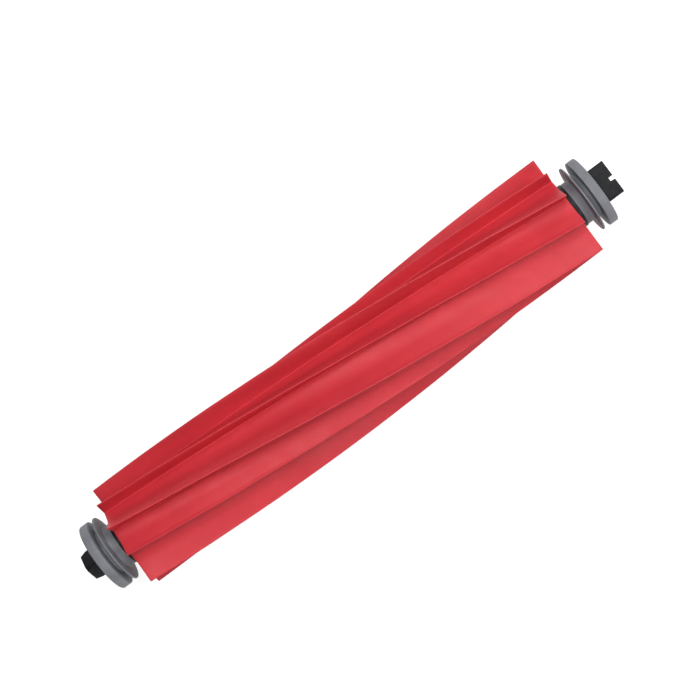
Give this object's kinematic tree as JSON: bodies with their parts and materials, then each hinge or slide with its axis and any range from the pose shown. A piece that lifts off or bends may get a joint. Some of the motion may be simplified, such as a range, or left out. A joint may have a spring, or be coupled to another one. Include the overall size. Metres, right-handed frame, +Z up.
{
  "type": "robot vacuum main roller brush",
  "caption": "Rubber roller brush with helical fins on a hollow core, a flanged cap at each end, a square drive stub and a bearing block that stays still while the roller turns.",
  "frame": {"origin": "on the roller's axis, half way between the end of the drive square and the end of the bearing block", "axes": "+X runs along the roller's axis from the drive square to the bearing block, +Y across it, and +Z up, out of the side that the picture shows"},
  "size_m": [0.1834, 0.0336, 0.0336],
  "materials": {
    "red_rubber": "moulded soft rubber, satin",
    "grey_cap_plastic": "moulded mid-grey plastic with a fine texture",
    "black_nylon": "moulded glass-filled nylon",
    "black_acetal": "moulded black acetal, low sheen",
    "pin_steel": "ground steel",
    "washer_steel": "stamped stainless steel",
    "race_steel": "ground bearing steel",
    "ball_steel": "polished bearing steel",
    "cage_brass": "pressed brass",
    "shield_steel": "pressed steel",
    "clip_steel": "blackened spring steel",
    "felt": "pressed wool felt"
  },
  "bodies": {
    "bearing_block": {"bearing_carrier": "black_acetal", "bearing_outer_race": "race_steel", "shield_inboard": "shield_steel", "shield_outboard": "shield_steel"},
    "rotor": {"fin_sleeve": "red_rubber", "core_tube": "black_nylon", "drive_cap": "grey_cap_plastic", "drive_plug": "black_acetal", "drive_cross_pin": "pin_steel", "axle_holder": "black_acetal", "axle_cross_pin": "pin_steel", "bearing_cap": "grey_cap_plastic", "axle_pin": "pin_steel", "thrust_washer": "washer_steel", "felt_ring": "felt", "bearing_inner_race": "race_steel", "axle_clip": "clip_steel"},
    "ball_set": {"ball_cage": "cage_brass", "bearing_ball_1": "ball_steel", "bearing_ball_2": "ball_steel", "bearing_ball_3": "ball_steel", "bearing_ball_4": "ball_steel", "bearing_ball_5": "ball_steel", "bearing_ball_6": "ball_steel", "bearing_ball_7": "ball_steel"}
  },
  "joints": [
    {"name": "roller_spin", "type": "hinge", "parent": "bearing_block", "child": "rotor", "pos_m": [0.0866, 0, 0], "axis": [1, 0, 0], "continuous": true},
    {"name": "cage_orbit", "type": "hinge", "parent": "bearing_block", "child": "ball_set", "pos_m": [0.0866, 0, 0], "axis": [1, 0, 0], "continuous": true}
  ],
  "couplings": [
    {"joint": "cage_orbit", "follows": "roller_spin", "ratio": 0.3582}
  ]
}
